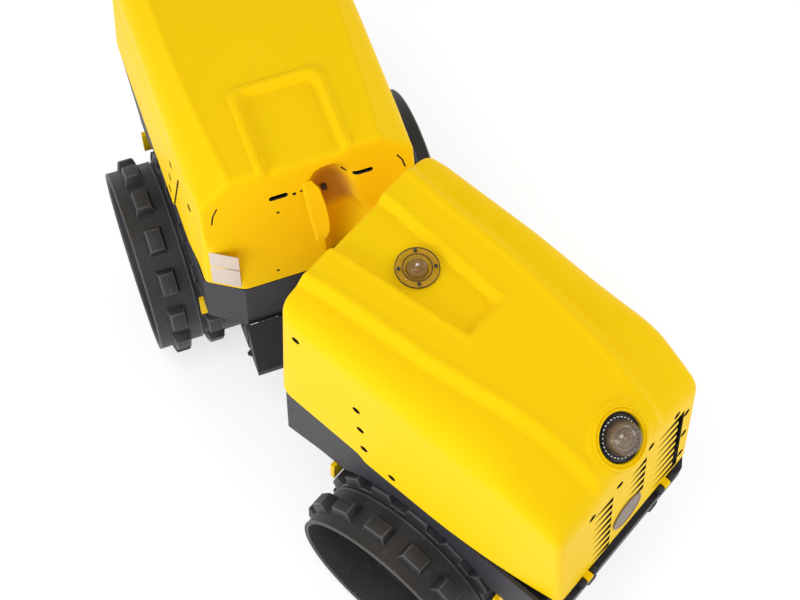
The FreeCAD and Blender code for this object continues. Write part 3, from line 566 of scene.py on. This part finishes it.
def lathe(name, profile, steps=64):
    """Turned piece: a closed run of (radius, height) points in millimetres, spun about Z."""
    bpy.ops.object.select_all(action="DESELECT")
    bpy.ops.mesh.primitive_plane_add(size=0.01)
    piece = bpy.context.object
    piece.name = name
    bpy.ops.object.mode_set(mode="EDIT")
    bpy.ops.mesh.select_mode(type="VERT")
    bpy.ops.mesh.select_all(action="SELECT")
    bpy.ops.mesh.merge(type="CENTER")
    radius, height = profile[0]
    bpy.ops.transform.translate(value=(radius / 1000.0, 0.0, height / 1000.0))
    for point in profile[1:] + profile[:1]:
        step = ((point[0] - radius) / 1000.0, 0.0, (point[1] - height) / 1000.0)
        bpy.ops.mesh.extrude_region_move(TRANSFORM_OT_translate={"value": step})
        radius, height = point
    bpy.ops.mesh.select_all(action="SELECT")
    bpy.ops.mesh.spin(steps=steps, angle=2.0 * math.pi, center=(0.0, 0.0, 0.0), axis=(0.0, 0.0, 1.0))
    bpy.ops.mesh.select_all(action="SELECT")
    bpy.ops.mesh.remove_doubles(threshold=0.00001)
    bpy.ops.mesh.dissolve_degenerate(threshold=0.000005)
    bpy.ops.mesh.normals_make_consistent(inside=False)
    bpy.ops.object.mode_set(mode="OBJECT")
    return piece


def copy_to(piece, step):
    """Another copy of a piece, moved by a step in millimetres."""
    twin = piece.copy()
    twin.data = piece.data.copy()
    bpy.context.scene.collection.objects.link(twin)
    twin.data.transform(Matrix.Translation(Vector(step) / 1000.0))
    return twin


def stand(piece, place, paint, body):
    """Puts a finished piece into the row frame, paints it and says what it rides on."""
    piece.data.transform(place @ piece.matrix_basis)
    piece.matrix_basis = Matrix.Identity(4)
    if len(piece.data.materials) == 0:
        piece.data.materials.append(paint)
    for index, material in enumerate(piece.data.materials):
        if material is None:
            piece.data.materials[index] = paint
    bpy.ops.object.select_all(action="DESELECT")
    bpy.context.view_layer.objects.active = piece
    piece.select_set(True)
    bpy.ops.object.shade_smooth_by_angle(angle=SHARP_ANGLE)
    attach(piece, body)
    return piece


HOLE_RADIUS = 11.0
LOUVRE_GAP = 25.0
LOUVRE_STEP = 36.5
# Louvres: (rows, y of the thick end, z of the top row, length) of each column.
LOUVRE_COLUMNS = ((9, 197.0, 928.0, 92.0), (5, 62.0, 919.0, 58.0), (9, -61.0, 921.0, 66.0))
# Small holes: (y, z) on the front face, (x, z) on both sides of each hood.
FACE_HOLES = ((75.0, 950.0), (-41.0, 948.0), (-137.0, 939.0), (171.0, 951.0), (213.0, 898.0), (214.0, 790.0),
              (213.0, 685.0))
FRONT_SIDE_HOLES = ((149.0, 1017.0), (330.0, 906.0), (346.0, 817.0), (361.0, 726.0), (448.0, 689.0))
REAR_SIDE_HOLES = ((-334.0, 872.0), (-354.0, 779.0), (-367.0, 700.0), (-203.0, 881.0))


def louvre_tool(length):
    """Wedge that opens from a thin tip to a thick end at y = 0, about x = 0 and z = 0."""
    tool = start_box((-30.0, -length, -LOUVRE_GAP), (30.0, 0.0, 0.0))
    bpy.ops.object.mode_set(mode="EDIT")
    bpy.ops.mesh.select_mode(type="VERT")
    mesh = bmesh.from_edit_mesh(tool.data)
    for vertex in mesh.verts:
        vertex.select_set(vertex.co.y < -0.001)
    mesh.select_flush_mode()
    bmesh.update_edit_mesh(tool.data)
    bpy.ops.transform.resize(value=(1.0, 1.0, 0.06), center_override=(0.0, 0.0, 0.0))
    bpy.ops.object.mode_set(mode="OBJECT")
    return tool


def louvre_tools():
    tools = []
    for rows, end_y, top_z, length in LOUVRE_COLUMNS:
        wedge = louvre_tool(length)
        for row in range(rows):
            z = top_z - row * LOUVRE_STEP
            tools.append(copy_to(wedge, (front_face_x(z), end_y, z)))
        bpy.data.objects.remove(wedge)
    return tools


def side_holes(places):
    return [start_rod((x, side * 275.0, z), (0.0, 1.0, 0.0), HOLE_RADIUS, 60.0, 20)
            for x, z in places for side in (-1.0, 1.0)]


def hood_ear(pin_x, pin_z, wall_x, y):
    """Knuckle and strap that carry a hood on its pin."""
    knuckle = start_rod((pin_x, y, pin_z), (0.0, 1.0, 0.0), 10.0, 20.0, 24)
    cut_out(knuckle, [start_rod((pin_x, y, pin_z), (0.0, 1.0, 0.0), 5.1, 40.0, 24)])
    strap = start_box((min(pin_x, wall_x), y - 10.0, pin_z + 6.5),
                      (max(pin_x, wall_x), y + 10.0, pin_z + 10.0))
    apply_modifier(strap, "BEVEL", width=0.0008, segments=2)
    return [knuckle, strap]


def make_front_hood(paints):
    piece = gridded_box("front_hood_panel", (0.087, -0.28, 0.64), (0.926, 0.28, 1.142), (116, 118, 44))
    press_panel(piece, (207.0, -150.0, 600.0), (770.0, 150.0, 1000.0), front_skin,
                lambda x: edge_height(x, FRONT_EDGE))
    line_panel(piece, paints)
    tools = louvre_tools() + side_holes(FRONT_SIDE_HOLES)
    for y, z in FACE_HOLES:
        tools.append(start_rod((front_face_x(z), y, z), (1.0, 0.0, 0.0), HOLE_RADIUS, 60.0, 20))
    tools.append(start_box((880.0, 182.0, 648.0), (950.0, 202.0, 928.0)))
    tools.append(start_rod((268.0, 0.0, 1130.0), (0.0, 0.0, 1.0), 26.0, 80.0, 40))
    tools.append(start_rod(NOSE_PLACE, NOSE_WAY, 57.0, 90.0, 64))
    # The walls of the louvres and holes take the panel's painted shade.
    cut_out(piece, tools)
    ears = hood_ear(934.0, 630.0, 915.0, 150.0) + hood_ear(934.0, 630.0, 915.0, -150.0)
    return join([piece] + ears)


# --- receivers --------------------------------------------------------------------------------
NOSE_TILT = math.radians(36.0)
NOSE_WAY = Vector((math.sin(NOSE_TILT), 0.0, math.cos(NOSE_TILT)))
NOSE_PLACE = Vector((838.0, 0.0, 1069.0))
ON_NOSE = Matrix.Translation(NOSE_PLACE / 1000.0) @ Matrix.Rotation(NOSE_TILT, 4, "Y")
ON_TOP = Matrix.Translation((0.268, 0.0, 1.1267))


def dome_profile(radius, wall, foot, skirt=0.0):
    """Half section of a thin dome on a straight skirt: out along the outside, back along the inside."""
    steps = 14
    angles = [math.radians(90.0) * step / steps for step in range(steps + 1)]
    outside = [(radius * math.cos(a), foot + radius * math.sin(a)) for a in angles]
    inner = radius - wall
    inside = [(inner * math.cos(a), foot + inner * math.sin(a)) for a in reversed(angles)]
    if skirt > 0.0:
        outside = [(radius, foot - skirt)] + outside
        inside = inside + [(inner, foot - skirt)]
    return [(r if r > 0.001 else 0.0, z) for r, z in outside + inside]


def studs_round(name, radius, count, size, height, turn=0.0):
    """A ring of small domed studs."""
    stud = lathe(name, [(0.0, 0.0), (size, 0.0), (size, size * 0.4), (size * 0.6, size * 0.8), (0.0, size)], 12)
    ring = []
    for step in range(count):
        angle = turn + 2.0 * math.pi * step / count
        ring.append(copy_to(stud, (radius * math.cos(angle), radius * math.sin(angle), height)))
    bpy.data.objects.remove(stud)
    ring = join(ring)
    ring.name = name
    return ring


def make_nose_receiver(paints):
    collar = lathe("nose_collar", [(56.5, -24.0), (72.5, -24.0), (72.0, -1.0), (70.0, 2.2), (67.0, 3.0),
                                   (65.2, 1.6), (64.4, -0.8), (63.4, -0.8), (62.4, 1.8), (60.0, 3.0),
                                   (57.8, 2.0), (56.5, -1.0)], 96)
    stand(collar, FRONT @ ON_NOSE, paints["yellow"], "front_lid")
    seat = lathe("nose_seat", [(34.0, -14.0), (56.0, -14.0), (56.0, -4.0), (54.0, -2.0), (51.5, -5.5),
                               (48.0, -6.5), (47.0, -3.4), (42.0, -3.0), (41.0, -5.0), (34.0, -6.0)], 72)
    stand(seat, FRONT @ ON_NOSE, paints["housing"], "front_lid")
    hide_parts("nose_receiver_base")
    dish = lathe("nose_dish", [(0.0, -9.0), (33.5, -9.0), (33.5, 4.0), (30.0, 10.0), (28.0, 16.0), (24.0, 18.0),
                               (21.0, 16.0), (17.0, 22.0), (10.0, 26.0), (5.0, 31.0), (0.0, 32.0)], 48)
    stand(dish, FRONT @ ON_NOSE, paints["reflector"], "front_lid")
    studs = studs_round("nose_studs", 44.6, 30, 2.2, -3.6)
    stand(studs, FRONT @ ON_NOSE, paints["chrome"], "front_lid")
    glass = lathe("nose_glass", dome_profile(39.5, 2.4, 11.0, 16.0), 72)
    stand(glass, FRONT @ ON_NOSE, paints["smoke"], "front_lid")
    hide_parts("nose_receiver_lens")


def make_top_receiver(paints):
    base = lathe("top_flange", [(27.0, 0.0), (48.5, 0.0), (48.5, 3.4), (47.4, 4.6), (45.6, 4.9), (44.8, 4.0),
                                (38.6, 4.0), (37.6, 5.0), (36.2, 6.8), (33.4, 7.0), (32.6, 5.6),
                                (27.0, 5.2)], 72)
    stand(base, FRONT @ ON_TOP, paints["amber"], "front_lid")
    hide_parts("top_receiver_base")
    core = lathe("top_core", [(0.0, -6.0), (24.0, -6.0), (24.0, 1.0), (21.0, 4.0), (14.0, 5.0), (12.0, 10.0),
                              (6.5, 12.5), (6.0, 16.0), (3.0, 18.0), (0.0, 18.3)], 40)
    stand(core, FRONT @ ON_TOP, paints["core"], "front_lid")
    lamp = studs_round("top_lamp", 0.0, 1, 4.0, 17.5)
    stand(lamp, FRONT @ ON_TOP, paints["chrome"], "front_lid")
    seals = [lathe("top_seal", [(inner, 0.0), (inner + 1.9, 0.0), (inner + 1.9, top), (inner, top)], 72)
             for inner, top in ((48.2, 3.0), (32.2, 6.4))]
    stand(join(seals), FRONT @ ON_TOP, paints["housing"], "front_lid")
    screws = studs_round("top_screws", 41.3, 4, 4.4, 3.6, math.radians(46.0))
    stand(screws, FRONT @ ON_TOP, paints["housing"], "front_lid")
    glass = lathe("top_glass", dome_profile(31.5, 2.2, 6.0), 64)
    stand(glass, FRONT @ ON_TOP, paints["clear"], "front_lid")
    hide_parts("top_receiver_lens")


def make_badge(paints):
    disc = lathe("nose_plate", [(0.0, 0.0), (51.5, 0.0), (51.5, 3.2), (50.2, 4.4), (48.0, 4.6), (46.6, 3.8),
                                (45.6, 3.2), (24.0, 3.6), (0.0, 3.8)], 72)
    lean = Matrix.Rotation(math.pi / 2.0 - math.atan(FRONT_LEAN), 4, "Y")
    stand(disc, FRONT @ Matrix.Translation((0.91475, 0.0, 0.731)) @ lean, paints["badge"], "front_lid")
    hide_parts("nose_badge")


# --- rear hood --------------------------------------------------------------------------------
def rear_face_x(z):
    return REAR_FOOT_X - REAR_LEAN * (z - REAR_EDGE)


def slot_tool(y0, y1, z, height):
    """Long slot with round ends through the rear hood's front face."""
    x = rear_face_x(z)
    radius = height / 2.0
    bar = start_box((x - 30.0, y0 + radius, z - radius), (x + 30.0, y1 - radius, z + radius))
    return [bar] + [start_rod((x, y, z), (1.0, 0.0, 0.0), radius, 59.0, 16) for y in (y0 + radius, y1 - radius)]


def groove_tools(points, radius):
    """Thin rods laid along a run of points."""
    tools = []
    for start, end in zip(points, points[1:]):
        start, end = Vector(start), Vector(end)
        tools.append(start_rod((start + end) / 2.0, end - start, radius, (end - start).length + radius, 8))
    return tools


def rear_foot(x):
    """Height of the rear hood's lower edge; it hangs lower behind the side covers' front edge."""
    return REAR_EDGE - 11.0 * fade(-x, 341.0, 347.0)


def make_rear_hood(paints):
    piece = gridded_box("rear_hood_panel", (-0.896, -0.28, 0.666), (-0.056, 0.28, 1.056), (116, 112, 50))
    press_panel(piece, (-770.0, -150.0, 600.0), (-236.0, 150.0, 900.0), rear_skin, rear_foot)
    line_panel(piece, paints)
    tools = side_holes(REAR_SIDE_HOLES)
    tools += slot_tool(-97.0, -50.0, 961.0, 15.0) + slot_tool(110.0, 160.0, 961.0, 14.0)
    tools += slot_tool(-40.0, -30.0, 955.0, 10.0) + slot_tool(84.0, 101.0, 958.0, 9.0)
    tools += slot_tool(-16.0, -12.0, 958.0, 9.0)
    for y, z in ((-80.0, 908.0), (-101.0, 701.0), (80.0, 872.0)):
        tools.append(start_rod((rear_face_x(z), y, z), (1.0, 0.0, 0.0), 4.0, 50.0, 16))
    for side in (-1.0, 1.0):
        tools += groove_tools([(-124.0, 221.0 * side, 982.0), (-119.5, 233.0 * side, 961.0),
                               (-114.0, 239.0 * side, 935.0)], 2.2)
        tools += groove_tools([(-276.0, 273.0 * side, 891.0), (-341.0, 280.5 * side, 664.0)], 3.4)
    # The walls of the slots, holes and grooves take the panel's painted shade.
    cut_out(piece, tools)
    ears = hood_ear(-906.0, 652.0, -887.0, 150.0) + hood_ear(-906.0, 652.0, -887.0, -150.0)
    return join([piece] + ears)


LIP_ROOT = [(765.0, 2.0), (850.0, -8.0), (900.0, -12.0), (985.0, -16.0)]
LIP_EDGE = [(765.0, 27.0), (803.0, 37.0), (850.0, 38.0), (902.0, 34.0), (960.0, 24.0), (985.0, 8.0)]


def make_trough_lip():
    """Curved flap that rises out of the face and flares over the right part of the hollow."""
    bpy.ops.object.select_all(action="DESELECT")
    bpy.ops.mesh.primitive_grid_add(x_subdivisions=12, y_subdivisions=28, size=1.0)
    piece = bpy.context.object
    piece.name = "trough_lip"
    low, high = LIP_EDGE[0][0], LIP_EDGE[-1][0]
    for vertex in piece.data.vertices:
        across, up = max(vertex.co.x + 0.5, 0.0), vertex.co.y + 0.5
        z = low + (high - low) * up
        root_y = edge_height(z, LIP_ROOT)
        y = root_y + (edge_height(z, LIP_EDGE) - root_y) * across
        rise = min(1.0, (high - z) / 40.0) * min(1.0, (z - low) / 45.0)
        lift = -3.0 + 4.2 * min(1.0, across / 0.2) + 11.0 * across ** 1.5 * rise
        vertex.co = Vector((rear_face_x(z) + lift, y, z)) / 1000.0
    apply_modifier(piece, "SOLIDIFY", thickness=0.003, offset=0.0)
    apply_modifier(piece, "BEVEL", width=0.0008, segments=2, limit_method="ANGLE")
    return piece


def make_facet_plate(name, low_z, high_z):
    """Bare plate on the right corner facet of the rear hood."""
    bpy.ops.object.select_all(action="DESELECT")
    plate = start_box((-1.0, -36.5, low_z), (0.6, 36.5, high_z))
    plate.name = name
    apply_modifier(plate, "BEVEL", width=0.0007, segments=2)
    side = 227.5
    turn = -math.atan2(FACET_ACROSS, FACET_ALONG)
    middle = Vector((FACET_X - (side - FACET_Y) * FACET_ACROSS / FACET_ALONG, -side, 0.0)) / 1000.0
    plate.data.transform(Matrix.Translation(middle) @ Matrix.Rotation(turn, 4, "Z"))
    return plate


# --- drums ------------------------------------------------------------------------------------
PAD_COUNT = 14
DRUM_BODIES = (("front", FRONT, 51.5), ("rear", REAR, 71.0))    # half, its place, angle of the first pad
DRUM_ROWS = (109.0, 256.0)
RING_ROW = 349.0
# Half sections of a drum and of its extension ring, as (radius, distance from the middle plane).
DRUM_SECTION = [(246.0, 62.0), (248.0, 64.0), (248.0, 279.5), (245.5, 282.0), (243.0, 283.0), (150.0, 283.0),
                (150.0, 269.0), (236.0, 269.0), (236.0, 114.0), (40.0, 114.0), (40.0, 100.0), (236.0, 100.0),
                (236.0, 64.0), (238.0, 62.0)]
RING_SECTION = [(240.0, 283.0), (240.0, 289.0), (246.0, 289.0), (248.0, 291.0), (248.0, 293.5), (247.0, 294.5),
                (247.0, 403.0), (248.0, 404.0), (248.0, 407.0), (246.0, 409.0), (239.5, 409.0), (237.0, 407.0),
                (236.0, 404.0), (236.0, 303.0), (150.0, 303.0), (150.0, 283.0)]


def make_pad(y):
    """One tapered pad standing up from the drum's shell, with rubbed rounded edges."""
    pad = start_box((-36.0, y - 27.0, 242.0), (36.0, y + 27.0, 269.5))
    bpy.ops.object.mode_set(mode="EDIT")
    bpy.ops.mesh.select_mode(type="VERT")
    mesh = bmesh.from_edit_mesh(pad.data)
    for vertex in mesh.verts:
        vertex.select_set(vertex.co.z > 0.26)
    mesh.select_flush_mode()
    bmesh.update_edit_mesh(pad.data)
    bpy.ops.transform.resize(value=(29.0 / 36.0, 19.0 / 27.0, 1.0), center_override=(0.0, y / 1000.0, 0.0))
    bpy.ops.object.mode_set(mode="OBJECT")
    return pad


def make_shell(name, section, rows, first_angle, paints):
    """Turned shell with its rows of pads, its axis along Y; every edge is rubbed light."""
    shell = lathe(name, section, 112)
    shell.data.transform(Matrix.Rotation(-math.pi / 2.0, 4, "X"))
    pieces = []
    for row, y in enumerate(rows):
        pad = make_pad(y)
        for paint in paints:
            pad.data.materials.append(paint)
        apply_modifier(pad, "BEVEL", width=0.003, segments=2, material=1)
        for step in range(PAD_COUNT):
            angle = first_angle + (step + row * 0.5) * 360.0 / PAD_COUNT
            twin = copy_to(pad, (0.0, 0.0, 0.0))
            twin.data.transform(Matrix.Rotation(math.radians(90.0 - angle), 4, "Y"))
            pieces.append(twin)
        bpy.data.objects.remove(pad)
    for paint in paints:
        shell.data.materials.append(paint)
    edges = [(point, section[(place + 1) % len(section)]) for place, point in enumerate(section)]
    short = [((a[0] + b[0]) / 2.0, (a[1] + b[1]) / 2.0) for a, b in edges
             if math.dist(a, b) < 4.0 and a[0] > 230.0]
    for face in shell.data.polygons:
        middle = face.center * 1000.0
        radius = math.hypot(middle.x, middle.z)
        if any(abs(radius - r) < 0.5 and abs(middle.y - y) < 0.5 for r, y in short):
            face.material_index = 1
    return join([shell] + pieces)


def make_drums(paints):
    for half, place, first_angle in DRUM_BODIES:
        middle = place.inverted() @ Vector(joints[half + "_drum_roll"]["pos_m"])
        at = Matrix.Translation((middle.x, 0.0, middle.z))
        for kind, section, rows in (("drum", DRUM_SECTION, DRUM_ROWS), ("ring", RING_SECTION, (RING_ROW,))):
            left = make_shell(half + "_" + kind + "_left_side", section, rows, first_angle, paints)
            right = copy_to(left, (0.0, 0.0, 0.0))
            right.name = half + "_" + kind + "_right_side"
            right.data.transform(Matrix.Scale(-1.0, 4, (0.0, 1.0, 0.0)))
            right.data.flip_normals()
            for piece, side in ((left, "left"), (right, "right")):
                stand(piece, place @ at, paints[0], half + "_drums")
                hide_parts(half + "_" + kind + "_" + side)


# --- making -----------------------------------------------------------------------------------
add_camera()
add_studio()

bpy.ops.mesh.primitive_plane_add(size=60.0, location=(0.0, 0.0, 0.0))
floor = bpy.context.object
floor.name = "floor"
floor.data.materials.append(studio_floor())
bpy.ops.object.select_all(action="DESELECT")

yellow, grey, iron = hood_yellow(), frame_grey(), drum_iron()
steel, chrome, housing, plain = bare_steel(), plated_rod(), black_housing(), plain_grey()


def finish_for(name):
    if name.endswith("_hood"):
        return yellow
    if "scraper" in name:
        return yellow
    if "_drum_" in name or "_ring_" in name:
        return iron
    if name.endswith("_pin"):
        return steel
    if name.endswith("_axle"):
        return plain
    if name == "steering_rod":
        return chrome
    if "receiver" in name or name == "nose_badge":
        return housing
    if name in ("engine_block", "radiator", "hydraulic_tank"):
        return plain
    return grey


for name, node in nodes.items():
    node.data.materials.clear()
    node.data.materials.append(finish_for(name))

# Each hood sheet has painted shade on its inside.
sheet = {"yellow": yellow, "dark": painted_shade_inside()}
front_hood = stand(make_front_hood(sheet), FRONT, yellow, "front_lid")
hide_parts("front_hood")
# The rear hood's paint has painted shade: brown around the middle of its hollow.
hollow_shaded_yellow = hood_yellow("hood_yellow_painted_shade", REAR @ Vector((-0.165, 0.066, 0.885)))
rear_sheet = {"yellow": hollow_shaded_yellow, "dark": sheet["dark"]}
rear_hood = stand(make_rear_hood(rear_sheet), REAR, hollow_shaded_yellow, "rear_lid")
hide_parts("rear_hood")
stand(make_trough_lip(), REAR, yellow, "rear_lid")
paints = {"yellow": yellow, "housing": housing, "chrome": chrome, "reflector": reflector(),
          "smoke": smoked_glass("smoked_dome", (0.17, 0.11, 0.07), 0.26),
          "clear": smoked_glass("clear_dome", (0.50, 0.28, 0.02), 0.10),
          "amber": smoked_glass("amber_flange", (0.50, 0.25, 0.01), 0.24),
          "core": receiver_core(), "badge": badge_plate()}
make_nose_receiver(paints)
make_top_receiver(paints)
make_badge(paints)
pale = pale_plate()
stand(make_facet_plate("upper_plate", 766.0, 834.0), REAR, pale, "rear_lid")
stand(make_facet_plate("lower_plate", 674.0, 761.0), REAR, pale, "rear_lid")

catch = start_box((-150.0, 39.0, 893.0), (-136.0, 53.0, 904.0))
catch.name = "hollow_catch"
apply_modifier(catch, "BEVEL", width=0.002, segments=2)
stand(catch, REAR, housing, "rear_lid")
knob = lathe("joint_knob", [(0.0, -1.0), (9.0, -1.0), (9.0, 4.0), (6.0, 4.0), (6.0, 8.0), (5.0, 9.0),
                            (0.0, 9.0)], 24)
turned = Matrix.Rotation(math.pi / 2.0, 4, "X")
stand(knob, REAR @ Matrix.Translation((-0.04, -0.195, 0.315)) @ turned, housing, "joint_block")

make_drums((iron, worn_edge()))
